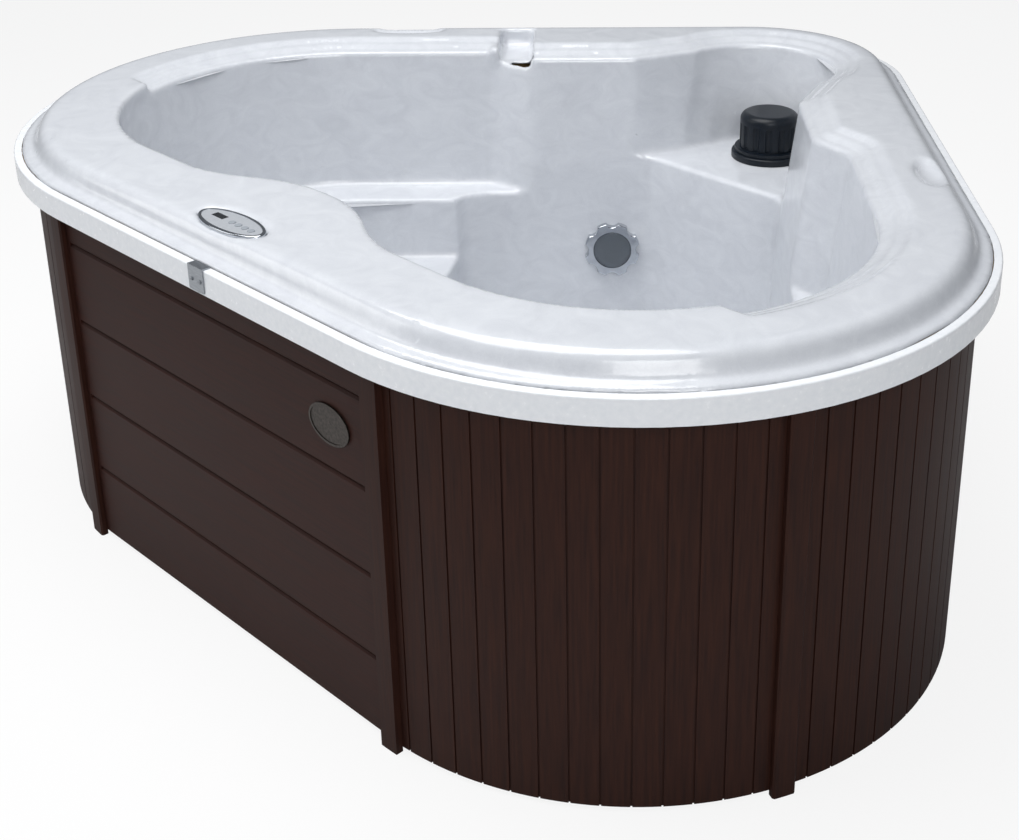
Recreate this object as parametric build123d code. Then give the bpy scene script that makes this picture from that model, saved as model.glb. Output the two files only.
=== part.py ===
from build123d import *
import os
from math import acos, atan2, cos, degrees, hypot, pi, radians, sin, tan

# Overall size, in millimetres: X is the width of the front, Y runs to the rear corner, Z is up
width = 1956.0
depth = 1676.0
height = 737.0
corner_radius = 578.0
apex_radius = 307.0

# Clearances
seat_gap = 0.3
run_gap = 0.05
slide_gap = 0.25

# Shell
shell_wall = 8.0
flange_inset = 14.0
flange_bottom = 690.0
flange_top = 703.0
roll_inset = 36.0
roll_taper = 26.0
roll_radius = 24.0
basin_inset = 190.0
rim_edge_z = 708.0
terrace_step = 24.0
terrace_drop = 9.0
terrace_start = 390.0
bulge_depth = 83.0
bulge_radius = 300.0
bulge_blend = 260.0
shoulder_start = 300.0
shoulder_length = 75.0
shoulder_depth = 55.0
shoulder_end = 600.0
shoulder_blend = 55.0
alcove_radius = 165.0
backrest_draft = 7.0
arm_inset = 318.0
arm_z = 430.0
seat_z = 300.0
seat_front = 250.0
well_front_y = -505.0
well_z = 110.0
well_blend = 60.0
well_draft = 3.0
filter_ledge_z = 508.0
filter_ledge_y = 402.0

# Trim band round the rim
band_bottom = 655.0
band_top = 697.0
band_wall = 5.0
band_lip = 21.0
band_joint_x = 33.0
band_joint_gap = 2.0
clip_width = 40.0
clip_thickness = 2.0
clip_tab = 16.0
screw_radius = 3.4
screw_head = 2.0

# Cabinet
skirt_inset = 31.0
skirt_thickness = 12.0
skirt_bottom = 8.0
slat_pitch = 45.5
slat_groove = 3.0
slat_groove_depth = 2.5
batten_width = 38.0
batten_proud = 13.0
panel_left = -434.5
panel_right = 397.5
panel_height = 642.0
panel_board = 148.5
panel_groove = 5.0
panel_groove_depth = 4.0
panel_groove_margin = 8.0
badge_x = 308.0
badge_z = 521.0
badge_length = 96.0
badge_height = 66.0
badge_thickness = 3.0
badge_bead = 4.0
top_plate_thickness = 22.0
top_plate_inner = 158.0
rail_height = 38.0
rail_width = 58.0
post_width = 38.0
pan_thickness = 6.0
pan_height = 30.0
pan_wall = 4.0

# Control panel on the deck
control_inset = 90.0
control_length = 160.0
control_width = 66.0
control_sink = 7.0
control_ring = 6.0
control_rise = 6.0
control_depth = 26.0
control_wall = 3.0
display_length = 30.0
display_width = 13.0
display_x = -36.0
display_y = 3.0
button_radius = 6.0
button_travel = 0.8
button_first_x = 2.0
button_pitch = 17.0

# Underwater light
light_z = 300.0
light_along = 548.0
light_radius = 60.0
light_lens_radius = 41.0
light_lobes = 8
light_bore = 36.0
light_rise = 16.0
light_depth = 62.0

# Filter
filter_y = 586.0
filter_flange_radius = 79.0
filter_flange_height = 14.0
filter_bore = 60.5
filter_cap_radius = 62.0
filter_cap_height = 84.0
filter_cap_wall = 4.0
filter_cap_flutes = 14
canister_radius = 72.0
canister_depth = 330.0
canister_wall = 4.0
cartridge_radius = 56.0
cartridge_core = 22.0
cartridge_pleats = 24
pleat_depth = 6.0
cartridge_end = 8.0

# Jets and suction covers
jet_z = 560.0
jet_radius = 36.0
jet_bore = 22.0
jet_neck = 15.0
jet_depth = 52.0
jet_offset = 64.0
jet_angle = -84.0
jet_notches = 12
suction_radius = 55.0
suction_bore = 24.0
suction_z = 190.0
suction_x = 110.0

# Equipment behind the access panel
pump_x = 215.0
pump_y = -660.0
pump_z = 150.0
motor_radius = 70.0
motor_length = 230.0
motor_fins = 18
motor_fin_rise = 4.0
volute_radius = 82.0
volute_width = 74.0
volute_wall = 8.0
port_radius = 28.0
union_radius = 40.0
union_length = 34.0
shaft_radius = 8.0
impeller_radius = 60.0
impeller_vanes = 6
heater_radius = 32.0
heater_length = 300.0
heater_nut_length = 26.0
heater_z = 330.0
heater_x = -230.0
box_length = 280.0
box_height = 190.0
box_base = 60.0
box_cover = 31.0
box_wall = 3.0
box_x = -250.0
box_z = 485.0
board_thickness = 8.0
pipe_radius = 24.0
pipe_bore = 20.5
pipe_bend = 40.0
manifold_radius = 20.0
manifold_wall = 3.0
manifold_z = 470.0
entry_radius = 14.0
entry_z = 68.0
entry_along = 130.0
drain_along = 330.0
drain_z = 68.0
drain_radius = 13.2
drain_bore = 9.0

# Plan geometry shared by every ring
front_y = -depth / 2
corner_x = width / 2 - corner_radius
corner_y = front_y + corner_radius
apex_y = depth / 2 - apex_radius
corner_span = hypot(corner_x, apex_y - corner_y)
leg_turn = atan2(apex_y - corner_y, -corner_x) - acos((corner_radius - apex_radius) / corner_span)
leg_degrees = degrees(leg_turn)
leg_normal = (cos(leg_turn), sin(leg_turn))
leg_along = (-sin(leg_turn), cos(leg_turn))
leg_length = (corner_span**2 - (corner_radius - apex_radius) ** 2) ** 0.5
arc_middle = (leg_degrees - 90) / 2


def leg_point(inset, along):
    """Point beside the right leg, measured from where the corner arc ends."""
    reach = corner_radius - inset
    x = corner_x + reach * leg_normal[0] + along * leg_along[0]
    y = corner_y + reach * leg_normal[1] + along * leg_along[1]
    return (x, y)


def corner_point(radius, angle):
    x = corner_x + radius * cos(radians(angle))
    y = corner_y + radius * sin(radians(angle))
    return (x, y)


def mirror_point(point):
    return (-point[0], point[1])


def outline(inset):
    """Rounded triangle of the whole object, moved in by inset."""
    big = corner_radius - inset
    small = apex_radius - inset
    p1 = (-corner_x, corner_y - big)
    p2 = (corner_x, corner_y - big)
    p3 = leg_point(inset, 0)
    p4 = leg_point(inset, leg_length)
    middle = corner_point(big, arc_middle)
    edges = [
        Line(p1, p2),
        ThreePointArc(p2, middle, p3),
        Line(p3, p4),
        ThreePointArc(p4, (0, apex_y + small), mirror_point(p4)),
        Line(mirror_point(p4), mirror_point(p3)),
        ThreePointArc(mirror_point(p3), mirror_point(middle), p1),
    ]
    return make_face(Wire(edges))


def slab(face, bottom, top):
    return extrude(Pos(0, 0, bottom) * face, top - bottom, dir=(0, 0, 1))


def ring(outer, inner, bottom, top):
    return slab(outline(outer), bottom, top) - slab(outline(inner), bottom, top)


def grown(face, amount):
    if amount == 0:
        return face
    return offset(face, amount).face()


def near(face, points, radius):
    """Round the corners of a face that lie nearest the given points."""
    face = face.face()
    chosen = []
    for point in points:
        spot = Vector(point[0], point[1], 0)
        chosen.append(min(face.vertices(), key=lambda v: (Vector(v) - spot).length))
    return face.fillet_2d(radius, chosen)


def tapered(face, top_z, bottom_z, draft):
    """Solid that narrows downwards by the draft angle."""
    shrink = (top_z - bottom_z) * tan(radians(draft))
    lower = grown(face, -shrink)
    return loft([Pos(0, 0, top_z) * face, Pos(0, 0, bottom_z) * lower], ruled=True)


# Basin outlines
def basin_outline():
    """Heart-shaped opening: two lobes, a bulge at the front and an alcove at the rear."""
    lobe = corner_radius - basin_inset
    p1 = (-corner_x, corner_y - lobe)
    p2 = (corner_x, corner_y - lobe)
    p3 = leg_point(basin_inset, 0)
    p4 = leg_point(basin_inset, shoulder_start)
    p5 = leg_point(basin_inset + shoulder_depth, shoulder_start + shoulder_length)
    p6 = leg_point(basin_inset + shoulder_depth, shoulder_end)
    p7 = (alcove_radius, apex_y)
    middle = corner_point(lobe, arc_middle)
    half = [p3, p4, p5, p6, p7]
    edges = [Line(p1, p2), ThreePointArc(p2, middle, p3)]
    edges += [Line(a, b) for a, b in zip(half, half[1:])]
    edges.append(ThreePointArc(p7, (0, apex_y + alcove_radius), mirror_point(p7)))
    edges += [Line(mirror_point(b), mirror_point(a)) for a, b in reversed(list(zip(half, half[1:])))]
    edges.append(ThreePointArc(mirror_point(p3), mirror_point(middle), p1))
    face = make_face(Wire(edges))
    corners = [p4, p5, p6]
    face = near(face, corners + [mirror_point(p) for p in corners], shoulder_blend)
    bulge_top = corner_y - lobe + bulge_depth
    bulge = Pos(0, bulge_top - bulge_radius) * Circle(bulge_radius)
    face = (Sketch() + face - bulge).face()
    foot = (bulge_radius**2 - (bulge_radius - bulge_depth) ** 2) ** 0.5
    feet = [(foot, corner_y - lobe), (-foot, corner_y - lobe)]
    return near(face, feet, bulge_blend)


def arm_outline():
    """Plan of the seats inside the arm ledges."""
    lobe = corner_radius - arm_inset
    p1 = (-corner_x, corner_y - lobe)
    p2 = (corner_x, corner_y - lobe)
    p3 = leg_point(arm_inset, 0)
    p4 = leg_point(arm_inset, shoulder_start - 60)
    middle = corner_point(lobe, arc_middle)
    edges = [
        Line(p1, p2),
        ThreePointArc(p2, middle, p3),
        Line(p3, p4),
        Line(p4, mirror_point(p4)),
        Line(mirror_point(p4), mirror_point(p3)),
        ThreePointArc(mirror_point(p3), mirror_point(middle), p1),
    ]
    return make_face(Wire(edges))


def well_outline(inset):
    """Plan of the foot well between the seats, widening to the rear walls."""
    p1 = (seat_front, well_front_y)
    p2 = (seat_front, corner_y + 60)
    p3 = leg_point(arm_inset - 20, shoulder_start - 90)
    p4 = leg_point(inset, shoulder_start - 10)
    along = (filter_ledge_y - p4[1]) / leg_along[1]
    p5 = (p4[0] + along * leg_along[0], filter_ledge_y)
    half = [p1, p2, p3, p4, p5]
    points = half + [mirror_point(p) for p in reversed(half)]
    face = make_face(Polyline(*points, close=True))
    return near(face, points, well_blend)


def basin(growth):
    """The space inside the shell, or its outer skin when grown by the wall."""
    opening = grown(basin_outline(), growth)
    upper = tapered(opening, rim_edge_z, arm_z - growth, backrest_draft)
    upper += slab(opening, rim_edge_z, height + 20 if growth == 0 else height - shell_wall / 2)
    rear = Pos(0, filter_ledge_y + growth - 30 + width / 2, filter_ledge_z - growth - width / 2)
    upper -= rear * Box(width, width, width)
    seats = tapered(grown(arm_outline(), growth), arm_z + 15, seat_z - growth, well_draft)
    ledge_drop = rim_edge_z - filter_ledge_z
    wall_inset = basin_inset + shoulder_depth + ledge_drop * tan(radians(backrest_draft)) + 2
    side = growth * (1 - tan(radians(well_draft)))
    well_face = grown(well_outline(wall_inset), side)
    well = tapered(well_face, filter_ledge_z - growth, well_z - growth, well_draft)
    return upper + seats + well


# Placing helpers
def upright(x, y, z, angle, tilt=0.0):
    """Plane whose normal points along a compass angle, with Y up; tilt raises the normal."""
    turn = radians(angle)
    rise = radians(tilt)
    normal = (cos(turn) * cos(rise), sin(turn) * cos(rise), sin(rise))
    return Plane(origin=(x, y, z), x_dir=(-sin(turn), cos(turn), 0), z_dir=normal)


def on_leg(side, inset, along, z, inward=False, tilt=0.0):
    x, y = leg_point(inset, along)
    angle = leg_degrees if side > 0 else 180 - leg_degrees
    return upright(side * x, y, z, angle + 180 if inward else angle, tilt)


def on_corner(side, inset, angle, z, inward=False, tilt=0.0):
    x, y = corner_point(corner_radius - inset, angle)
    facing = angle if side > 0 else 180 - angle
    return upright(side * x, y, z, facing + 180 if inward else facing, tilt)


def on_front(x, inset, z):
    return upright(x, front_y + inset, z, -90)


def rod(plane, radius, start, end):
    """Cylinder along a plane's normal between two distances from it."""
    return plane * Pos(0, 0, (start + end) / 2) * Cylinder(radius, end - start)


def tube(plane, outer, inner, start, end):
    return rod(plane, outer, start, end) - rod(plane, inner, start - 1, end + 1)


def bar(plane, x_size, y_size, start, end):
    return plane * Pos(0, 0, (start + end) / 2) * Box(x_size, y_size, end - start)


def piped(points, radius, bore, bend):
    """Round tube along straight runs with bends."""
    path = FilletPolyline(*points, radius=bend) if len(points) > 2 else Line(*points)
    start = Plane(origin=path @ 0, z_dir=path % 0)
    return sweep(start * Circle(radius), path) - sweep(start * Circle(bore), path)


def knurled(radius, count, height, notch):
    """Round disc with shallow notches about its edge, on the XY plane."""
    disc = Pos(0, 0, height / 2) * Cylinder(radius, height)
    return disc - [place * Cylinder(notch, height * 3) for place in PolarLocations(radius + notch / 2, count)]


# Shell
def raised(face, bottom_z, top_z, draft):
    """Solid that narrows upwards by the draft angle."""
    shrink = (top_z - bottom_z) * tan(radians(draft))
    upper = grown(face, -shrink)
    return loft([Pos(0, 0, bottom_z) * face, Pos(0, 0, top_z) * upper], ruled=True)


def deck(growth):
    """Rolled deck above the flange; a negative growth gives its hollow underside."""
    top = height + growth
    solid = raised(outline(roll_inset - growth), flange_bottom if growth else flange_top, top, roll_taper)
    edges = solid.edges().filter_by(lambda e: abs(e.center().Z - top) < 0.01)
    return fillet(edges, roll_radius + growth / 2)


def terraces():
    """Two shallow steps from the deck down to the basin, fading out at the front."""
    front = Pos(0, front_y, height) * Box(2 * width, 2 * terrace_start, 200)
    steps = slab(grown(basin_outline(), 2 * terrace_step), height - terrace_drop, height + 20)
    steps += slab(grown(basin_outline(), terrace_step), height - 2 * terrace_drop, height + 20)
    return steps - front


def control_oval(growth):
    """Oval of the control panel, on the XY plane."""
    return Ellipse(control_length / 2 + growth, control_width / 2 + growth)


def control_place(z):
    return Pos(0, front_y + control_inset, z)


def light_plane():
    drop = filter_ledge_z - light_z
    ledge_inset = basin_inset + shoulder_depth + (rim_edge_z - filter_ledge_z) * tan(radians(backrest_draft))
    inset = ledge_inset + 2 + drop * tan(radians(well_draft))
    return on_leg(-1, inset, light_along, light_z, True, well_draft)


def jet_planes():
    inset = basin_inset + (rim_edge_z - jet_z) * tan(radians(backrest_draft))
    planes = []
    for side in (-1, 1):
        planes.append(upright(side * (corner_x - jet_offset), front_y + inset, jet_z, 90, backrest_draft))
        planes.append(on_corner(side, inset, jet_angle, jet_z, True, backrest_draft))
    return planes


def suction_planes():
    y = well_front_y + (filter_ledge_z - suction_z) * tan(radians(well_draft))
    return [upright(x, y, suction_z, 90, well_draft) for x in (-suction_x, suction_x)]


def make_shell():
    solid = slab(outline(flange_inset), flange_bottom, flange_top) + deck(0)
    solid -= deck(-shell_wall)
    under = height - 2 * terrace_drop - shell_wall
    solid += slab(grown(basin_outline(), 2 * terrace_step + shell_wall), under, height - shell_wall / 2)
    solid += basin(shell_wall)
    solid -= basin(0)
    solid -= terraces()
    solid -= control_place(height - control_sink) * extrude(control_oval(4), 40)
    solid -= control_place(height - 60) * extrude(control_oval(-control_ring), 80)
    solid -= rod(light_plane(), light_bore, -40, 20)
    solid -= Pos(0, filter_y, filter_ledge_z) * Cylinder(canister_radius - canister_wall, 60)
    for plane in jet_planes():
        solid -= rod(plane, jet_bore, -30, 30)
    for plane in suction_planes():
        solid -= rod(plane, suction_bore, -30, 30)
    return solid


# Trim band
def make_trim_band():
    face = ring(0, band_wall, band_bottom, band_top)
    lip = ring(1, band_lip, band_top - band_wall, band_top)
    lip -= slab(outline(flange_inset - seat_gap), 0, band_top)
    foot = ring(1, skirt_inset - seat_gap, band_bottom, band_bottom + band_wall)
    band = face + lip + foot
    top = [e for e in band.edges() if abs(e.center().Z - band_top) < 0.01]
    band = fillet([e for e in top if abs(e.bounding_box().min.Y - front_y) < 0.6], 3)
    return band - Pos(band_joint_x, front_y, 676) * Box(band_joint_gap, 80, 80)


def clip_screw_places():
    z = (band_bottom + band_top) / 2
    return [on_front(band_joint_x + x, -clip_thickness, z) for x in (-11, 11)]


def make_trim_clip():
    low = band_bottom + 3
    plate_y = front_y - seat_gap - clip_thickness / 2
    plate = Pos(band_joint_x, plate_y, (low + band_top) / 2) * Box(clip_width, clip_thickness, band_top - low)
    tab_y = front_y - seat_gap - clip_thickness + clip_tab / 2
    tab = Pos(band_joint_x, tab_y, band_top + seat_gap + clip_thickness / 2)
    clip = plate + tab * Box(clip_width, clip_tab, clip_thickness)
    bend = Box(clip_width, clip_thickness, 2 * (seat_gap + clip_thickness))
    clip += Pos(band_joint_x, plate_y, band_top) * bend
    clip = fillet(clip.edges().filter_by(Axis.Y).filter_by(lambda e: e.center().Z < low + 1), 3)
    for plane in clip_screw_places():
        clip -= rod(plane, screw_radius * 0.6, -10, 10)
    return clip


def make_clip_screws():
    group = []
    for plane in clip_screw_places():
        head = rod(plane, screw_radius, 2 * seat_gap, 2 * seat_gap + screw_head)
        head = fillet(head.edges().group_by(Axis.Y)[0], 0.9)
        head -= bar(plane, 4.6, 0.9, screw_head * 0.6, screw_head * 3)
        group.append(head + rod(plane, screw_radius * 0.5, -clip_thickness, 1))
    return Compound(group)


# Cabinet
skirt_top = flange_bottom - top_plate_thickness - seat_gap
skirt_face = corner_radius - skirt_inset


def groove_planes():
    """Planes on the outside of the skirt at every tongue-and-groove joint."""
    planes = []
    step = degrees(slat_pitch / skirt_face)
    count = int(arc_middle / step + 90 / step)
    for side in (-1, 1):
        for k in range(-count, int((leg_degrees - arc_middle) / step) + 1):
            if k != 0:
                planes.append(on_corner(side, skirt_inset, arc_middle + k * step, 0))
        for k in range(1, int(leg_length / slat_pitch)):
            planes.append(on_leg(side, skirt_inset, k * slat_pitch, 0))
    apex_step = degrees(slat_pitch / (apex_radius - skirt_inset))
    reach = int((90 - leg_degrees) / apex_step)
    for k in range(-reach, reach + 1):
        turn = radians(90 + k * apex_step)
        r = apex_radius - skirt_inset
        planes.append(upright(r * cos(turn), apex_y + r * sin(turn), 0, degrees(turn)))
    return planes


def batten_planes():
    """Planes at the middle of each batten: beside the panel, on the corners and by the apex."""
    half = batten_width / 2 + seat_gap
    return {
        "panel_batten_left": on_front(panel_left - half, skirt_inset, 0),
        "panel_batten_right": on_front(panel_right + half, skirt_inset, 0),
        "corner_batten_left": on_corner(-1, skirt_inset, arc_middle, 0),
        "corner_batten_right": on_corner(1, skirt_inset, arc_middle, 0),
        "apex_batten_left": on_leg(-1, skirt_inset, leg_length, 0),
        "apex_batten_right": on_leg(1, skirt_inset, leg_length, 0),
    }


def make_skirts():
    """Slatted skirt in five sections, split behind the battens."""
    skirt = ring(skirt_inset, skirt_inset + skirt_thickness, skirt_bottom, skirt_top)
    cutters = [
        plane * Pos(0, height / 2, 0) * Box(slat_groove, 2 * height, 2 * slat_groove_depth)
        for plane in groove_planes()
    ]
    skirt -= cutters
    planes = batten_planes()
    for name in ("corner_batten_left", "corner_batten_right", "apex_batten_left", "apex_batten_right"):
        skirt -= planes[name] * Pos(0, height / 2, 0) * Box(2, 2 * height, 90)
    left = panel_left - batten_width / 2
    right = panel_right + batten_width / 2
    skirt -= Pos((left + right) / 2, front_y, height / 2) * Box(right - left, 200, 2 * height)
    skirt -= rod(on_leg(1, skirt_inset, entry_along, entry_z), entry_radius + 4, -30, 30)
    skirt -= rod(on_leg(1, skirt_inset, drain_along, drain_z), drain_radius + 4, -30, 30)
    sections = {}
    for solid in skirt.solids():
        centre = solid.center()
        side = "left" if centre.X < 0 else "right"
        if abs(centre.X) < 60:
            sections["skirt_apex"] = solid
        elif centre.Y < corner_y - 120:
            sections["skirt_front_" + side] = solid
        else:
            sections["skirt_side_" + side] = solid
    return sections


def make_battens():
    strip = ring(skirt_inset - batten_proud, skirt_inset - seat_gap, 0, band_bottom - seat_gap)
    battens = {}
    for name, plane in batten_planes().items():
        batten = (strip & plane * Pos(0, height / 2, 0) * Box(batten_width, 2 * height, 90)).solid()
        front = batten.edges().filter_by(Axis.Z)
        reach = sorted(front, key=lambda e: (plane.to_local_coords(e.center())).Z)[-2:]
        battens[name] = chamfer(reach, 3)
    for place in ("corner", "apex"):
        pair = [battens.pop(f"{place}_batten_{side}") for side in ("left", "right")]
        battens[place + "_battens"] = Compound([b.solid() for b in pair])
    return battens


def make_access_panel():
    length = panel_right - panel_left
    y = front_y + skirt_inset + skirt_thickness / 2
    x = (panel_left + panel_right) / 2
    panel = Pos(x, y, skirt_bottom + panel_height / 2) * Box(length - seat_gap, skirt_thickness, panel_height)
    face = front_y + skirt_inset
    cut_length = length - 2 * panel_groove_margin
    for k in range(1, int(panel_height / panel_board) + 1):
        z = k * panel_board - panel_groove / 2
        profile = Pos(x, face, z) * Rot(45, 0, 0) * Box(cut_length, 1.3 * panel_groove, 1.3 * panel_groove)
        panel -= profile
        panel -= Pos(x, face, z) * Box(cut_length, 2 * panel_groove_depth, panel_groove * 0.5)
    edges = panel.edges().filter_by(Axis.X).filter_by(lambda e: abs(e.center().Y - face) < 0.01)
    outer = [e for e in edges if e.center().Z < skirt_bottom + 1 or e.center().Z > panel_height]
    return chamfer(outer, 2)


def make_badge_plate():
    plane = on_front(badge_x, skirt_inset - seat_gap, badge_z)
    plate = plane * extrude(Ellipse(badge_length / 2, badge_height / 2), badge_thickness)
    hollow = plane * Pos(0, 0, badge_thickness - 1)
    plate -= hollow * extrude(Ellipse(badge_length / 2 - badge_bead, badge_height / 2 - badge_bead), 4)
    return plate


# Frame and base
def make_base_pan():
    """Moulded floor pan with an upturned rim."""
    outer = skirt_inset + skirt_thickness + seat_gap
    pan = slab(outline(outer), 0, pan_height)
    pan -= slab(outline(outer + pan_wall), pan_thickness, pan_height + 1)
    return pan - rod(on_leg(1, skirt_inset, entry_along, entry_z), entry_radius + 4, -30, 30)


frame_outer = skirt_inset + skirt_thickness + pan_wall + 2 * seat_gap
frame_inner = frame_outer + rail_width


def make_bottom_rail():
    return ring(frame_outer, frame_inner, pan_thickness + seat_gap, pan_thickness + seat_gap + rail_height)


def make_top_plate():
    low = flange_bottom - top_plate_thickness
    plate = ring(band_wall + seat_gap, top_plate_inner, low, flange_bottom - seat_gap)
    return plate - slab(grown(basin_outline(), shell_wall + 2 * seat_gap), low - 1, flange_bottom)


def make_frame_posts():
    low = pan_thickness + 2 * seat_gap + rail_height
    high = skirt_top
    planes = []
    for side in (-1, 1):
        planes += [on_corner(side, frame_outer, a, 0) for a in (-62, arc_middle, 12)]
        planes += [on_leg(side, frame_outer, leg_length * k, 0) for k in (0.05, 0.5, 0.95)]
    planes.append(upright(0, apex_y + apex_radius - frame_outer, 0, 90))
    half = batten_width / 2
    planes.append(on_front(panel_left - half, frame_outer, 0))
    planes.append(on_front(panel_right + half, frame_outer, 0))
    posts = []
    for plane in planes:
        post = plane * Pos(0, (low + high) / 2, -rail_width / 2 - 3) * Box(post_width, high - low, rail_width - 6)
        posts.append(post)
    return Compound([p.solid() for p in posts])


def make_well_support():
    """Three timber bearers that carry the foot well on the floor pan."""
    low = pan_thickness + seat_gap
    high = well_z - shell_wall - seat_gap
    bars = [Pos(0, y, (low + high) / 2) * Box(1.6 * seat_front, 60, high - low) for y in (-380, -120, 160)]
    return Compound([b.solid() for b in bars])


def make_panel_catches():
    """Spring catches on the posts that hold the access panel."""
    catches = []
    y = front_y + skirt_inset + skirt_thickness + seat_gap
    reach = frame_outer - skirt_inset - skirt_thickness
    for x in (panel_left + 12, panel_right - 12):
        for z in (120, 540):
            plate = Pos(x, y + reach / 2 + 9, z) * Box(20, reach + 18, 40)
            plate -= Pos(x, y + reach / 2 + 12, z) * Box(14, reach + 8, 50)
            catches.append(plate.solid())
    return Compound(catches)


# Control panel
def make_control_bezel():
    base = height - control_sink + seat_gap
    bezel = control_place(base) * extrude(control_oval(0), control_rise)
    bezel = fillet(bezel.edges().group_by(Axis.Z)[-1], 2.5)
    bezel += control_place(base - control_depth) * extrude(control_oval(-control_ring - 2), control_depth + 1)
    pocket = control_oval(-control_ring)
    bezel -= control_place(base + control_rise - 3) * extrude(pocket, 10)
    hollow = control_oval(-control_ring - 2 - control_wall)
    return bezel - control_place(base - control_depth + control_wall) * extrude(hollow, 2 * control_depth)


control_face_z = height - control_sink + control_rise - 3 + 2 * seat_gap
button_row = {
    "pump_button": 0,
    "light_button": 1,
    "warmer_button": 2,
    "cooler_button": 3,
}


def button_place(name, z):
    return Pos(button_first_x + button_pitch * button_row[name], front_y + control_inset, z)


def display_place(z):
    return Pos(display_x, front_y + control_inset + display_y, z)


def make_control_face():
    face = control_place(control_face_z) * extrude(control_oval(-control_ring - seat_gap), 2)
    for name in button_row:
        face -= button_place(name, control_face_z) * Cylinder(button_radius + slide_gap, 20)
    return face - display_place(control_face_z) * Box(display_length, display_width, 20)


def make_display_window():
    window = Box(display_length - 2 * seat_gap, display_width - 2 * seat_gap, 4)
    lip = Box(display_length + 3, display_width + 3, 1.5)
    place = display_place(control_face_z)
    return place * Pos(0, 0, 0.3) * window + place * Pos(0, 0, -seat_gap - 0.75) * lip


def make_button(name):
    """Push button with a retaining flange under the face."""
    top = control_face_z + 2 + button_travel + 0.4
    stem = button_place(name, (top + control_face_z - 2) / 2) * Cylinder(button_radius, top - control_face_z + 2)
    stem = fillet(stem.edges().group_by(Axis.Z)[-1], 1.0)
    stem += button_place(name, control_face_z - seat_gap - 1) * Cylinder(button_radius + 2, 1.6)
    return stem


# Underwater light
def make_light():
    plane = light_plane()
    scallops = knurled(light_radius, light_lobes, light_rise, 16)
    bezel = fillet(scallops.edges().group_by(Axis.Z)[-1], 2.5)
    bezel -= Pos(0, 0, light_rise) * Cylinder(light_lens_radius + seat_gap, light_rise * 0.9)
    bezel -= Cylinder(light_lens_radius - 4, 60)
    bezel = plane * Pos(0, 0, seat_gap) * bezel
    dome = Pos(0, 0, light_rise * 0.55 + 2 * seat_gap) * Cylinder(light_lens_radius, 6, align=(Align.CENTER, Align.CENTER, Align.MIN))
    dome = fillet(dome.edges().group_by(Axis.Z)[-1], 4)
    lens = plane * dome
    housing = rod(plane, light_bore - seat_gap, -light_depth, light_rise * 0.3)
    housing -= rod(plane, light_bore - 4, -light_depth + 4, light_rise)
    nut = plane * Pos(0, 0, -shell_wall - seat_gap - 12) * knurled(light_bore + 14, 6, 12, 9)
    nut -= rod(plane, light_bore, -100, 20)
    return {"light_bezel": bezel, "light_lens": lens, "light_housing": housing, "light_nut": nut}


# Filter
def filter_at(z):
    return Plane(origin=(0, filter_y, z))


def make_filter():
    ledge = filter_ledge_z
    under = ledge - shell_wall - seat_gap
    canister = tube(filter_at(under), canister_radius, canister_radius - canister_wall, -canister_depth, 0)
    canister += rod(filter_at(under), canister_radius, -canister_depth - canister_wall, -canister_depth)
    canister += tube(filter_at(under), canister_radius + 12, canister_radius - canister_wall, -canister_wall, 0)
    base = ledge + seat_gap
    flange = tube(filter_at(base), filter_flange_radius, filter_bore, 0, filter_flange_height)
    flange = fillet(flange.edges().group_by(Axis.Z)[-1].sort_by(SortBy.LENGTH)[-1], 4)
    neck = canister_radius - canister_wall - seat_gap
    flange += tube(filter_at(base), neck, filter_bore, -shell_wall - 18, 1)
    low = under - canister_depth + seat_gap
    high = base - shell_wall - 20
    star = []
    for k in range(2 * cartridge_pleats):
        r = cartridge_radius - (pleat_depth if k % 2 else 0)
        star.append((r * cos(pi * k / cartridge_pleats), r * sin(pi * k / cartridge_pleats)))
    media = Pos(0, filter_y, low + 1) * extrude(make_face(Polyline(*star, close=True)), high - low - 2)
    cartridge = media + rod(filter_at(low), cartridge_radius + 1, 0, cartridge_end)
    cartridge += rod(filter_at(high), cartridge_radius + 1, -cartridge_end, 0)
    cartridge -= rod(filter_at(low), cartridge_core, -1, high - low + 1)
    top = base + filter_flange_height + seat_gap
    cap = rod(filter_at(top), filter_cap_radius, 0, filter_cap_height)
    cap = fillet(cap.edges().group_by(Axis.Z)[-1], 16)
    flute = Cylinder(9, filter_cap_height - 34)
    middle = filter_at(top + filter_cap_height / 2 - 6)
    cap -= [middle * place * flute for place in PolarLocations(filter_cap_radius + 5, filter_cap_flutes)]
    cap += rod(filter_at(top), filter_cap_radius + 10, 0, 8)
    cap += rod(filter_at(top), filter_bore - 2 * run_gap, -filter_flange_height, 1)
    cap -= rod(filter_at(top), filter_cap_radius - 8 - filter_cap_wall, -filter_flange_height - 1, filter_cap_height - 18)
    return {"filter_canister": canister, "filter_flange": flange, "filter_cartridge": cartridge, "filter_cap": cap}


# Jets and suction fittings
jet_seat = (jet_bore + 10) ** 2 / (2 * (corner_radius - basin_inset - 60)) + 2 * seat_gap


def make_jet_bodies():
    bodies = []
    for plane in jet_planes():
        body = rod(plane, jet_bore - 2 * seat_gap, -jet_depth, jet_seat + 1)
        body += rod(plane, jet_bore + 10, jet_seat, jet_seat + 2)
        body += tube(plane, jet_bore + 9, jet_bore - 1, -shell_wall - 9, -shell_wall - 2 * seat_gap)
        spot = plane.origin + plane.z_dir * (14 - jet_depth)
        drop = spot.Z - manifold_z - manifold_radius - seat_gap
        nipple = Pos(spot.X, spot.Y, spot.Z - drop / 2) * Cylinder(9, drop)
        body += nipple
        body -= rod(plane, jet_neck + run_gap, -jet_depth + 4, 5)
        bodies.append(body.solid())
    return Compound(bodies)


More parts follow.
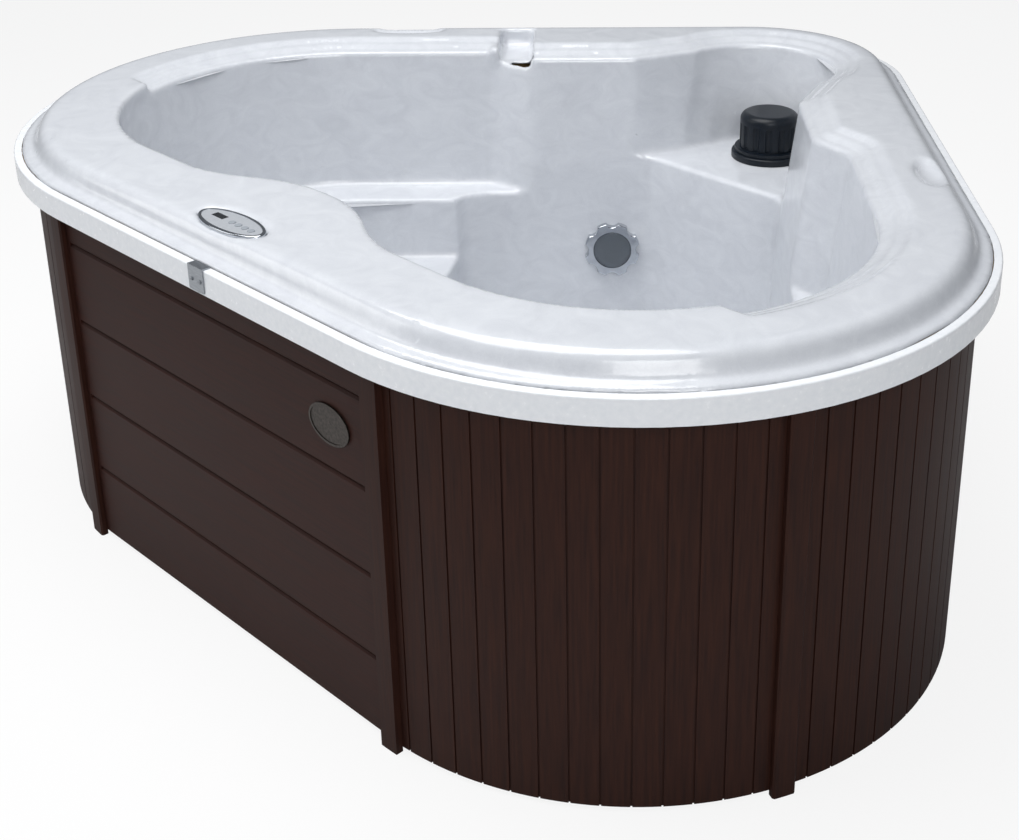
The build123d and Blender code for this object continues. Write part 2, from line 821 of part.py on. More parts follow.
def make_jet_face(plane):
    """Turning jet face with a notched rim, three nozzles and a stem in the body."""
    low = jet_seat + 2 + seat_gap
    disc = knurled(jet_radius, jet_notches, 11, 3)
    disc = fillet(disc.edges().group_by(Axis.Z)[-1], 1.5)
    face = plane * Pos(0, 0, low) * disc
    face += rod(plane, jet_neck, -20, low + 1)
    for k in range(3):
        turn = radians(120 * k + 90)
        spot = plane * Pos(13 * cos(turn), 13 * sin(turn), low + 8)
        face -= spot * Cylinder(5, 10)
    return face


def make_suction_fittings():
    group = []
    for plane in suction_planes():
        body = rod(plane, suction_bore - seat_gap, -40, 2)
        body += rod(plane, suction_bore + 16, seat_gap, 4)
        body += tube(plane, suction_bore + 12, suction_bore - 1, -shell_wall - seat_gap - 9, -shell_wall - seat_gap)
        group.append((body - rod(plane, suction_bore - 4, -36, 10)).solid())
    return Compound(group)


def make_suction_covers():
    group = []
    for plane in suction_planes():
        cover = Pos(0, 0, 9) * Cylinder(suction_radius, 18)
        cover = fillet(cover.edges().group_by(Axis.Z)[-1], 12)
        cover -= Pos(0, 0, 5) * Cylinder(suction_radius - 4, 19)
        cover -= [Pos(0, 0, 18) * Rot(0, 0, 22.5 * k) * Pos(34, 0, 0) * Box(26, 4, 16) for k in range(16)]
        group.append((plane * Pos(0, 0, seat_gap) * cover).solid())
    return Compound(group)


# Pump
def pump_plane(x):
    return Plane(origin=(x, pump_y, pump_z), x_dir=(0, 1, 0), z_dir=(1, 0, 0))


motor_front = pump_x - volute_width / 2 - seat_gap
motor_back = motor_front - motor_length


def make_pump():
    wet = rod(pump_plane(pump_x), volute_radius, -volute_width / 2, volute_width / 2)
    wet = fillet(wet.edges().filter_by(GeomType.CIRCLE), 10)
    wet += rod(pump_plane(pump_x), port_radius, 0, volute_width / 2 + 24)
    riser = Plane(origin=(pump_x, pump_y, pump_z))
    wet += rod(riser, port_radius, 0, volute_radius + 24)
    wet -= rod(pump_plane(pump_x), volute_radius - volute_wall - 6, -volute_width / 2 + volute_wall, volute_width / 2 - volute_wall)
    wet -= rod(pump_plane(pump_x), port_radius - 5, 0, 200)
    wet -= rod(riser, port_radius - 5, 0, 200)
    wet -= rod(pump_plane(pump_x), shaft_radius + run_gap, -100, 0)
    motor = rod(pump_plane(motor_back), motor_radius, 0, motor_length)
    motor = fillet(motor.edges().filter_by(GeomType.CIRCLE), 8)
    fin = Box(2 * motor_fin_rise, 6, motor_length * 0.7)
    middle = pump_plane(motor_back + motor_length / 2)
    motor += [middle * place * fin for place in PolarLocations(motor_radius, motor_fins)]
    motor -= rod(pump_plane(motor_back), shaft_radius + run_gap, 14, motor_length + 10)
    shaft = rod(pump_plane(motor_back), shaft_radius, 20, motor_length + volute_width / 2 + 4)
    impeller = rod(pump_plane(pump_x), impeller_radius, -10, -5)
    vane = Pos(impeller_radius / 2 + 6, 0, 2) * Rot(0, 0, 35) * Box(impeller_radius - 20, 3, 14)
    impeller += [pump_plane(pump_x) * place * vane for place in PolarLocations(0, impeller_vanes)]
    impeller += rod(pump_plane(pump_x), shaft_radius + 8, -14, 12)
    impeller -= rod(pump_plane(pump_x), shaft_radius + seat_gap, -30, 8)
    return {"pump_wet_end": wet, "pump_motor": motor, "pump_shaft": shaft, "pump_impeller": impeller}


def make_pump_foot():
    low = pan_thickness + seat_gap
    x = motor_back + motor_length / 2
    foot = Pos(x, pump_y, (low + pump_z - 30) / 2) * Box(motor_length * 0.5, 130, pump_z - 30 - low)
    foot -= rod(pump_plane(motor_back), motor_radius + motor_fin_rise + seat_gap, -10, motor_length + 10)
    foot -= Pos(x, pump_y, low + 20) * Box(motor_length, 70, 20)
    return foot


def union_ring(plane, end):
    ring_body = plane * Pos(0, 0, end - union_length) * knurled(union_radius, 10, union_length, 4)
    hole = rod(plane, port_radius + seat_gap, end - 2 * union_length, end + union_length)
    return (ring_body - hole).solid()


def make_pipe_unions():
    """Union nuts at the two pump ports and at both ends of the heater."""
    riser = Plane(origin=(pump_x, pump_y, pump_z))
    nuts = [union_ring(pump_plane(pump_x), volute_width / 2 + 24 + union_length * 0.6)]
    nuts.append(union_ring(riser, volute_radius + 24 + union_length * 0.6))
    half = heater_length / 2
    for x, sign in ((heater_x - half, -1), (heater_x + half, 1)):
        start = seat_gap if sign > 0 else -seat_gap - heater_nut_length
        nut = heater_plane(x) * Pos(0, 0, start) * knurled(heater_radius + 8, 10, heater_nut_length, 4)
        nuts.append((nut - rod(heater_plane(x), pipe_radius + seat_gap, -60, 60)).solid())
    return Compound(nuts)


# Heater, pipes and control box
def heater_plane(x):
    return Plane(origin=(x, pump_y, heater_z), x_dir=(0, 1, 0), z_dir=(1, 0, 0))


def make_heater():
    half = heater_length / 2
    body = tube(heater_plane(heater_x), heater_radius, heater_radius - 3, -half, half)
    for end in (-half, half - 6):
        body += tube(heater_plane(heater_x), heater_radius + 6, heater_radius - 3, end, end + 6)
    for x in (-60, 60):
        body += Pos(heater_x + x, pump_y, heater_z + heater_radius + 6) * Cylinder(9, 16)
    body -= rod(heater_plane(heater_x), heater_radius - 3, -half + 1, half - 1)
    return body


def make_pressure_pipe():
    top = pump_z + volute_radius + 24 + seat_gap
    end = heater_x + heater_length / 2 + seat_gap
    points = [(pump_x, pump_y, top), (pump_x, pump_y, heater_z), (end, pump_y, heater_z)]
    return piped(points, pipe_radius, pipe_bore, pipe_bend)


def make_suction_pipe():
    start = pump_x + volute_width / 2 + 24 + seat_gap
    back_y = suction_planes()[0].origin.Y - 40 - pipe_radius - 2
    turn_x = start + 2.4 * pipe_bend
    points = [
        (start, pump_y, pump_z),
        (turn_x, pump_y, pump_z),
        (turn_x, back_y, suction_z),
        (-suction_x - 40, back_y, suction_z),
    ]
    return piped(points, pipe_radius, pipe_bore, pipe_bend)


def make_manifold():
    """Return pipe that feeds the jets along the front of the basin."""
    half = corner_x + 110
    end = heater_x - heater_length / 2 - seat_gap
    drop_x = end - pipe_bend - 30
    bore = manifold_radius - manifold_wall
    middle = Plane(origin=(0, pump_y, manifold_z), x_dir=(0, 1, 0), z_dir=(1, 0, 0))
    run = tube(middle, manifold_radius, bore, -half, half)
    route = [(drop_x, pump_y, manifold_z), (drop_x, pump_y, heater_z), (end, pump_y, heater_z)]
    drop = piped(route, manifold_radius, bore, pipe_bend)
    return (run + drop).solid()


def make_mounting_board():
    y = pump_y - manifold_radius - board_thickness / 2 - 4
    low = box_z - box_height / 2 - 10
    return Pos(box_x, y, (low + skirt_top) / 2) * Box(box_length + 30, board_thickness, skirt_top - low)


box_back = pump_y - manifold_radius - board_thickness - 4 - seat_gap


def make_control_box():
    box = Pos(box_x, box_back - box_base / 2, box_z) * Box(box_length, box_base, box_height)
    box = fillet(box.edges().filter_by(Axis.Y), 12)
    inner = Box(box_length - 2 * box_wall, box_base, box_height - 2 * box_wall)
    box -= Pos(box_x, box_back - box_base / 2 - box_wall, box_z) * inner
    return box - Pos(box_x + 90, box_back - box_base / 2, box_z - box_height / 2) * Cylinder(9, 30)


def make_control_cover():
    y = box_back - box_base - seat_gap
    cover = Pos(box_x, y - box_cover / 2, box_z) * Box(box_length, box_cover, box_height)
    cover = fillet(cover.edges().filter_by(Axis.Y), 12)
    cover = fillet(cover.edges().group_by(Axis.Y)[0], 4)
    inner = Box(box_length - 2 * box_wall, box_cover, box_height - 2 * box_wall)
    return cover - Pos(box_x, y - box_cover / 2 + box_wall, box_z) * inner


def make_cable_gland():
    z = box_z - box_height / 2
    place = Pos(box_x + 90, box_back - box_base / 2, z)
    gland = place * Pos(0, 0, -seat_gap - 9) * Cylinder(14, 18)
    gland += place * Pos(0, 0, -4) * Cylinder(9 - seat_gap, 24)
    return gland - place * Cylinder(6, 80)


# Fittings through the skirt
def make_supply_bushing():
    plane = on_leg(1, skirt_inset, entry_along, entry_z)
    bush = tube(plane, entry_radius + 4 - seat_gap, entry_radius, -skirt_thickness - 3, 2)
    return bush + tube(plane, entry_radius + 9, entry_radius, seat_gap, 4)


def make_drain():
    plane = on_leg(1, skirt_inset, drain_along, drain_z)
    spigot = rod(plane, drain_radius + 4 - seat_gap, -skirt_thickness - 20, 2)
    spigot += rod(plane, drain_radius + 9, seat_gap, 4)
    spigot += rod(plane, drain_radius, 3, 22)
    spigot -= rod(plane, drain_bore, -60, 60)
    cap = plane * Pos(0, 0, 4 + seat_gap) * knurled(drain_radius + 5, 12, 21, 2)
    cap -= rod(plane, drain_radius + run_gap, 0, 22 + seat_gap)
    return {"drain_spigot": spigot, "drain_cap": cap}


def make_all():
    nodes = {"shell": make_shell(), "trim_band": make_trim_band(), "trim_clip": make_trim_clip()}
    nodes["clip_screws"] = make_clip_screws()
    nodes.update(make_skirts())
    nodes.update(make_battens())
    nodes["access_panel"] = make_access_panel()
    nodes["badge_plate"] = make_badge_plate()
    nodes["base_pan"] = make_base_pan()
    nodes["bottom_rail"] = make_bottom_rail()
    nodes["top_plate"] = make_top_plate()
    nodes["frame_posts"] = make_frame_posts()
    nodes["well_support"] = make_well_support()
    nodes["panel_catches"] = make_panel_catches()
    nodes["control_bezel"] = make_control_bezel()
    nodes["control_face"] = make_control_face()
    nodes["display_window"] = make_display_window()
    for name in button_row:
        nodes[name] = make_button(name)
    nodes.update(make_light())
    nodes.update(make_filter())
    nodes["jet_bodies"] = make_jet_bodies()
    for number, plane in enumerate(jet_planes(), 1):
        nodes[f"jet_face_{number}"] = make_jet_face(plane)
    nodes["suction_fittings"] = make_suction_fittings()
    nodes["suction_covers"] = make_suction_covers()
    nodes.update(make_pump())
    nodes["pump_foot"] = make_pump_foot()
    nodes["pipe_unions"] = make_pipe_unions()
    nodes["heater_tube"] = make_heater()
    nodes["pressure_pipe"] = make_pressure_pipe()
    nodes["suction_pipe"] = make_suction_pipe()
    nodes["return_manifold"] = make_manifold()
    nodes["mounting_board"] = make_mounting_board()
    nodes["control_box"] = make_control_box()
    nodes["control_box_cover"] = make_control_cover()
    nodes["cable_gland"] = make_cable_gland()
    nodes["supply_bushing"] = make_supply_bushing()
    nodes.update(make_drain())
    return nodes


if __name__ == "__main__":
    os.makedirs("parts", exist_ok=True)
    for name, solid in make_all().items():
        export_step(solid, f"parts/{name}.step")
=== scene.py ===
import math

import bmesh
import bpy
from mathutils import Matrix, Vector


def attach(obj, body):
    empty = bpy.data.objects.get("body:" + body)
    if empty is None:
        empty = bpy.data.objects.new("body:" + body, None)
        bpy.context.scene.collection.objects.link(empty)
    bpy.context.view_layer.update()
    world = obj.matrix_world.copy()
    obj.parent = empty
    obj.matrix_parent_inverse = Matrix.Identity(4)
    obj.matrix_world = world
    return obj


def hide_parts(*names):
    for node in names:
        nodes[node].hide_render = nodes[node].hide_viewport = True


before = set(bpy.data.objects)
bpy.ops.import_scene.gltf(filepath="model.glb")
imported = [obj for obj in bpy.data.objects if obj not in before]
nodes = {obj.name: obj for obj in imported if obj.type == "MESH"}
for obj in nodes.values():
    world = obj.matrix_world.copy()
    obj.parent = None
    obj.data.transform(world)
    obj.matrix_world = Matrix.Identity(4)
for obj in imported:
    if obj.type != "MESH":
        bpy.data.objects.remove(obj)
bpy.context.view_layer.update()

print("frame loaded:", len(nodes), "nodes")


# colours are written as sRGB hex and turned to linear here
def hexColour(code):
    parts = [int(code[i:i + 2], 16) / 255 for i in (1, 3, 5)]
    return [p / 12.92 if p <= 0.04045 else ((p + 0.055) / 1.055) ** 2.4 for p in parts] + [1.0]


# adds one node; settings go to its properties or input sockets, links to its inputs
def addNode(tree, kind, settings=None, links=None):
    node = tree.nodes.new(kind)
    for key, value in (settings or {}).items():
        if isinstance(key, str) and hasattr(node, key) and key not in node.inputs:
            setattr(node, key, value)
        else:
            node.inputs[key].default_value = value
    for key, socket in (links or {}).items():
        tree.links.new(socket, node.inputs[key])
    return node


def newMaterial(name, settings):
    material = bpy.data.materials.new(name)
    material.use_nodes = True
    tree = material.node_tree
    shader = tree.nodes["Principled BSDF"]
    for key, value in settings.items():
        shader.inputs[key].default_value = value
    return material, tree, shader


def dress(material, *names):
    for name in names:
        slots = nodes[name].data.materials
        slots.clear()
        slots.append(material)


# the camera stands where the photograph was taken from
cameraSettings = {
    "place": (2.05294, -2.02191, 1.67780),
    "lookDown": 0.39991,
    "turn": 0.774,
    "focalPixels": 1625.649,
    "imageWidth": 1019,
    "centreOffset": (93.491, -168.542),
}


def makeCamera(s):
    camera = bpy.data.objects.new("camera", bpy.data.cameras.new("camera"))
    bpy.context.scene.collection.objects.link(camera)
    camera.location = s["place"]
    camera.rotation_euler = (math.pi / 2 - s["lookDown"], 0, s["turn"])
    camera.data.sensor_width = 36
    camera.data.lens = s["focalPixels"] / s["imageWidth"] * 36
    camera.data.shift_x = -s["centreOffset"][0] / s["imageWidth"]
    camera.data.shift_y = s["centreOffset"][1] / s["imageWidth"]
    bpy.context.scene.camera = camera


makeCamera(cameraSettings)
bpy.context.scene.view_settings.view_transform = "Standard"

# soft studio light: a wide box overhead, one from the left and one from beside the camera
lightSettings = {
    "overhead": {"place": (-0.4, -0.6, 3.6), "aim": (0, 0, 0.5), "size": 2.6, "watts": 108},
    "leftBox": {"place": (-2.6, -3.0, 2.4), "aim": (0, 0, 0.4), "size": 2.0, "watts": 26},
    "rightBox": {"place": (2.9, -2.3, 2.7), "aim": (0, 0, 0.5), "size": 1.6, "watts": 46},
    "ambient": 0.2,
    "floorLift": 0.86,
}


def makeLights(s):
    for name, box in s.items():
        if not isinstance(box, dict):
            continue
        lamp = bpy.data.lights.new(name, "AREA")
        lamp.size = box["size"]
        lamp.energy = box["watts"]
        holder = bpy.data.objects.new(name, lamp)
        bpy.context.scene.collection.objects.link(holder)
        holder.location = box["place"]
        aim = Vector(box["aim"]) - Vector(box["place"])
        holder.rotation_euler = aim.to_track_quat("-Z", "Y").to_euler()
    # the world lights softly, and is white where the camera sees it, also through clear plastic
    world = bpy.data.worlds.new("studio")
    world.use_nodes = True
    bpy.context.scene.world = world
    tree = world.node_tree
    tree.nodes.clear()
    path = addNode(tree, "ShaderNodeLightPath")
    seen = addNode(tree, "ShaderNodeMath", {"operation": "MAXIMUM"},
                   {0: path.outputs["Is Camera Ray"], 1: path.outputs["Is Transmission Ray"]})
    soft = addNode(tree, "ShaderNodeBackground", {"Color": hexColour("#E9EEF6"), "Strength": s["ambient"]})
    white = addNode(tree, "ShaderNodeBackground", {"Color": (1, 1, 1, 1), "Strength": 1.0})
    mix = addNode(tree, "ShaderNodeMixShader", None,
                  {0: seen.outputs[0], 1: soft.outputs[0], 2: white.outputs[0]})
    addNode(tree, "ShaderNodeOutputWorld", None, {"Surface": mix.outputs[0]})


def makeFloor(s):
    bm = bmesh.new()
    bmesh.ops.create_grid(bm, x_segments=1, y_segments=1, size=9)
    mesh = bpy.data.meshes.new("floor")
    bm.to_mesh(mesh)
    bm.free()
    floor = bpy.data.objects.new("floor", mesh)
    bpy.context.scene.collection.objects.link(floor)
    # matt paper sweep, lifted towards white for the camera so that only the shadow shows
    material, tree, shader = newMaterial("paperSweep", {"Base Color": hexColour("#F4F4F4"), "Roughness": 0.9})
    path = addNode(tree, "ShaderNodeLightPath")
    amount = addNode(tree, "ShaderNodeMath", {"operation": "MULTIPLY", 1: s["floorLift"]},
                     {0: path.outputs["Is Camera Ray"]})
    glow = addNode(tree, "ShaderNodeEmission", {"Color": (1, 1, 1, 1), "Strength": 1.0})
    mix = addNode(tree, "ShaderNodeMixShader", None,
                  {0: amount.outputs[0], 1: shader.outputs[0], 2: glow.outputs[0]})
    tree.links.new(mix.outputs[0], tree.nodes["Material Output"].inputs["Surface"])
    mesh.materials.append(material)


makeLights(lightSettings)
makeFloor(lightSettings)
print("camera, lights and floor made")


# a slow noise on object coordinates, scaled from a real size in millimetres
def patternCoordinates(tree, sizeMm, stretch=(1, 1, 1)):
    coords = addNode(tree, "ShaderNodeTexCoord")
    scale = [1000 / sizeMm * v for v in stretch]
    return addNode(tree, "ShaderNodeMapping", {"Scale": scale}, {"Vector": coords.outputs["Object"]})


# cast acrylic sheet, vacuum formed: deep gloss over a pearl pigment that drifts in soft clouds
acrylicSettings = {
    "pale": "#D8DBE0", "deep": "#CCCFD5",
    "cloudMm": 70, "fleckMm": 2.2,
    "roughness": 0.2, "coat": 0.35, "coatRoughness": 0.06,
}


def makeAcrylic(s):
    material, tree, shader = newMaterial("pearlAcrylic", {
        "Roughness": s["roughness"], "IOR": 1.49,
        "Coat Weight": s["coat"], "Coat Roughness": s["coatRoughness"],
    })
    clouds = patternCoordinates(tree, s["cloudMm"], (1, 1, 1.6))
    drift = addNode(tree, "ShaderNodeTexNoise",
                    {"Scale": 1.0, "Detail": 5.0, "Roughness": 0.62, "Distortion": 1.4},
                    {"Vector": clouds.outputs[0]})
    flecks = patternCoordinates(tree, s["fleckMm"])
    fleck = addNode(tree, "ShaderNodeTexNoise", {"Scale": 1.0, "Detail": 2.0}, {"Vector": flecks.outputs[0]})
    blend = addNode(tree, "ShaderNodeMix", {"data_type": "FLOAT", "Factor": 0.25},
                    {"A": drift.outputs["Fac"], "B": fleck.outputs["Fac"]})
    ramp = addNode(tree, "ShaderNodeValToRGB", None, {"Fac": blend.outputs[0]})
    ramp.color_ramp.elements[0].position = 0.34
    ramp.color_ramp.elements[0].color = hexColour(s["deep"])
    ramp.color_ramp.elements[1].position = 0.66
    ramp.color_ramp.elements[1].color = hexColour(s["pale"])
    tree.links.new(ramp.outputs["Color"], shader.inputs["Base Color"])
    return material


pearlAcrylic = makeAcrylic(acrylicSettings)


# moulded and painted pieces: a fine grain in the colour, the gloss and the relief
def makeGrained(name, s):
    material, tree, shader = newMaterial(name, {
        "Roughness": s["roughness"], "IOR": 1.5, "Metallic": s.get("metallic", 0.0),
        "Coat Weight": s.get("coat", 0.0), "Coat Roughness": 0.1,
        "Specular IOR Level": s.get("specular", 0.5),
    })
    grain = patternCoordinates(tree, s["grainMm"], s.get("stretch", (1, 1, 1)))
    noise = addNode(tree, "ShaderNodeTexNoise", {"Scale": 1.0, "Detail": 4.0, "Roughness": 0.55},
                    {"Vector": grain.outputs[0]})
    ramp = addNode(tree, "ShaderNodeValToRGB", None, {"Fac": noise.outputs["Fac"]})
    ramp.color_ramp.elements[0].position = 0.3
    ramp.color_ramp.elements[0].color = hexColour(s["deep"])
    ramp.color_ramp.elements[1].position = 0.7
    ramp.color_ramp.elements[1].color = hexColour(s["pale"])
    tree.links.new(ramp.outputs["Color"], shader.inputs["Base Color"])
    gloss = addNode(tree, "ShaderNodeMapRange",
                    {"To Min": s["roughness"] - 0.06, "To Max": s["roughness"] + 0.08},
                    {"Value": noise.outputs["Fac"]})
    tree.links.new(gloss.outputs[0], shader.inputs["Roughness"])
    relief = addNode(tree, "ShaderNodeBump", {"Strength": s["relief"], "Distance": 0.0006},
                     {"Height": noise.outputs["Fac"]})
    tree.links.new(relief.outputs[0], shader.inputs["Normal"])
    return material


# what each finish is, and which nodes wear it; grain sizes are in millimetres
finishes = {
    # gloss ABS extrusion, nearly pure white
    "trimAbs": ({"pale": "#F4F6F9", "deep": "#ECEFF3", "roughness": 0.24, "grainMm": 9, "relief": 0.04,
                 "coat": 0.3}, ["trim_band"]),
    # embossed polystyrene boards dyed espresso, with a long vertical grain
    "skirtBoard": ({"pale": "#381E15", "deep": "#28140F", "roughness": 0.52, "grainMm": 5, "relief": 0.3,
                    "stretch": (1, 1, 0.05), "specular": 0.14},
                   ["skirt_front_left", "skirt_front_right", "skirt_side_left", "skirt_side_right",
                    "skirt_apex", "corner_battens", "apex_battens", "panel_batten_left",
                    "panel_batten_right"]),
    # the same board laid flat, so its grain runs along X; its colours are set a little lighter than the
    # skirts' copy, painted light for the front face
    "panelBoardFrontLit": ({"pale": "#39201A", "deep": "#2C1813", "roughness": 0.52, "grainMm": 5, "relief": 0.3,
                    "stretch": (0.05, 1, 1), "specular": 0.12}, ["access_panel"]),
    # stainless steel, brushed along X
    "brushedSteel": ({"pale": "#A9ADB2", "deep": "#8E9297", "roughness": 0.3, "grainMm": 1.5, "relief": 0.1,
                      "metallic": 1.0, "stretch": (0.1, 1, 1)},
                     ["trim_clip", "clip_screws", "panel_catches", "pump_shaft", "heater_tube"]),
    # chrome plating over ABS
    "chromePlate": ({"pale": "#C9CDD2", "deep": "#B7BBC1", "roughness": 0.1, "grainMm": 30, "relief": 0.01,
                     "metallic": 1.0}, ["control_bezel", "light_bezel"]),
    # black nickel with an antique wipe
    "badgeNickel": ({"pale": "#4A443F", "deep": "#2A2522", "roughness": 0.36, "grainMm": 5, "relief": 0.1,
                     "metallic": 0.9}, ["badge_plate"]),
    # silver film laminated over the controls
    "silverFilm": ({"pale": "#C8CCD1", "deep": "#BEC2C8", "roughness": 0.33, "grainMm": 3, "relief": 0.03,
                    "metallic": 0.35}, ["control_face"]),
    "smokedWindow": ({"pale": "#12161B", "deep": "#0B0E12", "roughness": 0.12, "grainMm": 20, "relief": 0.0,
                      "coat": 0.6}, ["display_window"]),
    "buttonRubber": ({"pale": "#9AA0A7", "deep": "#8A9097", "roughness": 0.5, "grainMm": 2, "relief": 0.1},
                     ["pump_button", "light_button", "warmer_button", "cooler_button"]),
    # blue-black glass-filled ABS
    "filterAbs": ({"pale": "#111A24", "deep": "#080D14", "roughness": 0.36, "grainMm": 4, "relief": 0.12,
                   "specular": 0.3},
                  ["filter_cap", "filter_flange", "filter_canister"]),
    "greyAbs": ({"pale": "#8F949B", "deep": "#7E838A", "roughness": 0.38, "grainMm": 4, "relief": 0.08},
                ["light_housing", "light_nut", "jet_bodies", "jet_face_1", "jet_face_2", "jet_face_3",
                 "jet_face_4", "suction_fittings", "suction_covers", "cable_gland", "supply_bushing",
                 "drain_spigot", "drain_cap"]),
    # pleated spun polyester
    "filterFleece": ({"pale": "#E9ECEE", "deep": "#D3D8DC", "roughness": 0.85, "grainMm": 1.5, "relief": 0.6},
                     ["filter_cartridge"]),
    "panPolymer": ({"pale": "#1D1D1E", "deep": "#141415", "roughness": 0.6, "grainMm": 3, "relief": 0.3},
                   ["base_pan"]),
    # sawn softwood, grain along X
    "sawnPine": ({"pale": "#C9A87A", "deep": "#A98453", "roughness": 0.7, "grainMm": 12, "relief": 0.4,
                  "stretch": (0.08, 1, 1)},
                 ["bottom_rail", "top_plate", "frame_posts", "well_support", "mounting_board"]),
    "whitePvc": ({"pale": "#EDEDE8", "deep": "#E2E2DC", "roughness": 0.3, "grainMm": 12, "relief": 0.04},
                 ["pipe_unions", "pressure_pipe", "suction_pipe", "return_manifold"]),
    "pumpPolymer": ({"pale": "#222224", "deep": "#171719", "roughness": 0.45, "grainMm": 3, "relief": 0.2},
                    ["pump_wet_end", "pump_impeller", "pump_foot"]),
    "motorEnamel": ({"pale": "#3E454D", "deep": "#31373E", "roughness": 0.4, "grainMm": 2, "relief": 0.15},
                    ["pump_motor"]),
    # powder coat over sheet steel, with its orange peel
    "powderCoat": ({"pale": "#A5A8AB", "deep": "#999C9F", "roughness": 0.48, "grainMm": 1.2, "relief": 0.35},
                   ["control_box", "control_box_cover"]),
}
for name, (settings, wearers) in finishes.items():
    dress(makeGrained(name, settings), *wearers)

# polycarbonate lens over the lamp
lensMaterial, _, _ = newMaterial("clearPolycarbonate", {
    "Base Color": hexColour("#8C959F"), "Roughness": 0.12, "IOR": 1.58, "Transmission Weight": 0.7,
})
dress(lensMaterial, "light_lens")
print("materials made:", len(finishes) + 2)


# the shell: the moulding's sharp corners are rounded as a vacuum former leaves them
shellSettings = {
    "voxel": 0.005,
    "smoothing": 9, "keep": 0.2,
    "cornerX": 0.400, "cornerY": -0.260, "cornerRadius": 0.578,
    "apexY": 0.531, "apexRadius": 0.307,
    # hand-holds pressed into the crest: along the leg, inset, half length, half width, depth
    "handHolds": [(-1, 0.105, 0.075, 0.080, 0.026, 0.014), (1, 0.155, 0.075, 0.070, 0.026, 0.014)],
    # the pillow slot through the left deck: along, inset, half length, half width, floor height
    "slot": (-1, 0.336, 0.130, 0.036, 0.062, 0.698),
    "slotReach": (0.026, -0.015), "panHeight": 0.710, "panHalf": 0.019, "panMargin": (0.008, 0.012),
    "slotClear": 0.03, "panRound": 0.008, "slotRound": 0.014,
    "crest": 0.737, "wall": 0.008, "padTop": 0.730,
    # below this upward lean a point is on the hidden underside
    "underLean": -0.03, "seenWeight": 0.25, "underBias": 8,
}


def legPlace(s, side, along, inset):
    dx, dy = -s["cornerX"], s["apexY"] - s["cornerY"]
    span = math.hypot(dx, dy)
    turn = math.atan2(dy, dx) - math.acos((s["cornerRadius"] - s["apexRadius"]) / span)
    reach = s["cornerRadius"] - inset
    x = s["cornerX"] + reach * math.cos(turn) - along * math.sin(turn)
    y = s["cornerY"] + reach * math.sin(turn) + along * math.cos(turn)
    return side * x, y, turn if side > 0 else math.pi - turn


def makeObject(name, bm):
    mesh = bpy.data.meshes.new(name)
    bm.to_mesh(mesh)
    bm.free()
    piece = bpy.data.objects.new(name, mesh)
    bpy.context.scene.collection.objects.link(piece)
    return piece


def cutAway(piece, cutter, operation="DIFFERENCE"):
    modifier = piece.modifiers.new("cut", "BOOLEAN")
    modifier.operation = operation
    modifier.object = cutter
    modifier.solver = "EXACT"
    settle(piece)
    bpy.data.objects.remove(cutter)


# the modifiers' result becomes the piece's own mesh
def settle(piece):
    graph = bpy.context.evaluated_depsgraph_get()
    finished = bpy.data.meshes.new_from_object(piece.evaluated_get(graph))
    piece.modifiers.clear()
    piece.data = finished


def roundedBox(name, place, half, turn, radius):
    bm = bmesh.new()
    bmesh.ops.create_cube(bm, size=2)
    bmesh.ops.scale(bm, vec=half, verts=bm.verts)
    bmesh.ops.bevel(bm, geom=bm.edges, offset=radius, segments=4, profile=0.5, affect="EDGES", material=-1)
    bmesh.ops.rotate(bm, cent=(0, 0, 0), matrix=Matrix.Rotation(turn, 3, "Z"), verts=bm.verts)
    bmesh.ops.translate(bm, vec=place, verts=bm.verts)
    return makeObject(name, bm)


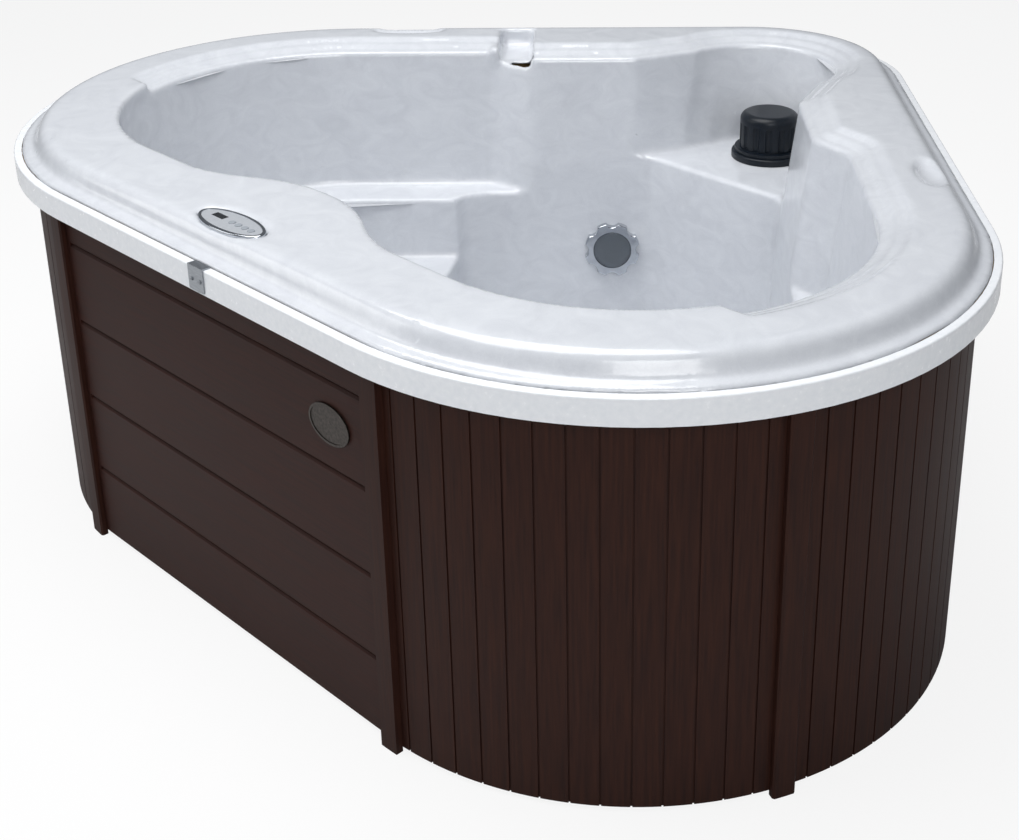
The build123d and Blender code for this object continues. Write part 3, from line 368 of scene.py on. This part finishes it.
def makeShell(s):
    bm = bmesh.new()
    bm.from_mesh(nodes["shell"].data)
    bmesh.ops.remove_doubles(bm, verts=bm.verts, dist=0.000005)
    shell = makeObject("shellMoulding", bm)
    side, along, inset, halfLong, halfWide, floor = s["slot"]
    x, y, turn = legPlace(s, side, along, inset)
    deep = (s["crest"] - floor) / 2 + s["slotClear"]
    reachX, reachY = s["slotReach"]
    marginWide, marginLong = s["panMargin"]
    panHalf = (halfWide + marginWide, halfLong + marginLong, s["panHalf"])
    pan = roundedBox("slotPan", (x, y, s["panHeight"]), panHalf, turn, s["panRound"])
    cutAway(shell, pan, "UNION")
    # the cut runs on into the basin, so the slot stays open on that side
    cutHalf = (halfWide + reachX, halfLong, deep)
    cut = roundedBox("slotCut", (x + reachX, y + reachY, floor + deep), cutHalf, turn, s["slotRound"])
    cutAway(shell, cut)
    for side, along, inset, halfLong, halfWide, dip in s["handHolds"]:
        x, y, turn = legPlace(s, side, along, inset)
        bm = bmesh.new()
        bmesh.ops.create_uvsphere(bm, u_segments=32, v_segments=16, radius=1)
        bmesh.ops.scale(bm, vec=(halfWide, halfLong, dip), verts=bm.verts)
        bmesh.ops.rotate(bm, cent=(0, 0, 0), matrix=Matrix.Rotation(turn, 3, "Z"), verts=bm.verts)
        bmesh.ops.translate(bm, vec=(x, y, s["crest"]), verts=bm.verts)
        # the wall under the hold is the same dish, a wall lower and cut off below the deck's top
        pad = bm.copy()
        bmesh.ops.translate(pad, vec=(0, 0, -s["wall"]), verts=pad.verts)
        bmesh.ops.bisect_plane(pad, geom=pad.verts[:] + pad.edges[:] + pad.faces[:],
                               plane_co=(0, 0, s["padTop"]), plane_no=(0, 0, 1), clear_outer=True)
        bmesh.ops.holes_fill(pad, edges=pad.edges)
        cutAway(shell, makeObject("handPad", pad), "UNION")
        cutAway(shell, makeObject("handCut", bm))
    remesh = shell.modifiers.new("mould", "REMESH")
    remesh.mode = "VOXEL"
    remesh.voxel_size = s["voxel"]
    remesh.adaptivity = 0
    relax = shell.modifiers.new("relax", "SMOOTH")
    relax.factor = 0.5
    relax.iterations = s["smoothing"]
    settle(shell)
    # the hidden underside gives up most of its faces
    hidden = shell.vertex_groups.new(name="hidden")
    under = [v.index for v in shell.data.vertices if v.normal.z < s["underLean"]]
    seen = [v.index for v in shell.data.vertices if v.normal.z >= s["underLean"]]
    hidden.add(under, 1.0, "REPLACE")
    hidden.add(seen, s["seenWeight"], "REPLACE")
    thin = shell.modifiers.new("thin", "DECIMATE")
    thin.ratio = s["keep"]
    thin.vertex_group = "hidden"
    thin.vertex_group_factor = s["underBias"]
    settle(shell)
    for face in shell.data.polygons:
        face.use_smooth = True
    shell.data.materials.clear()
    shell.data.materials.append(pearlAcrylic)
    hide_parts("shell")
    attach(shell, "tub")
    print("shell moulded:", len(shell.data.polygons), "faces")


makeShell(shellSettings)
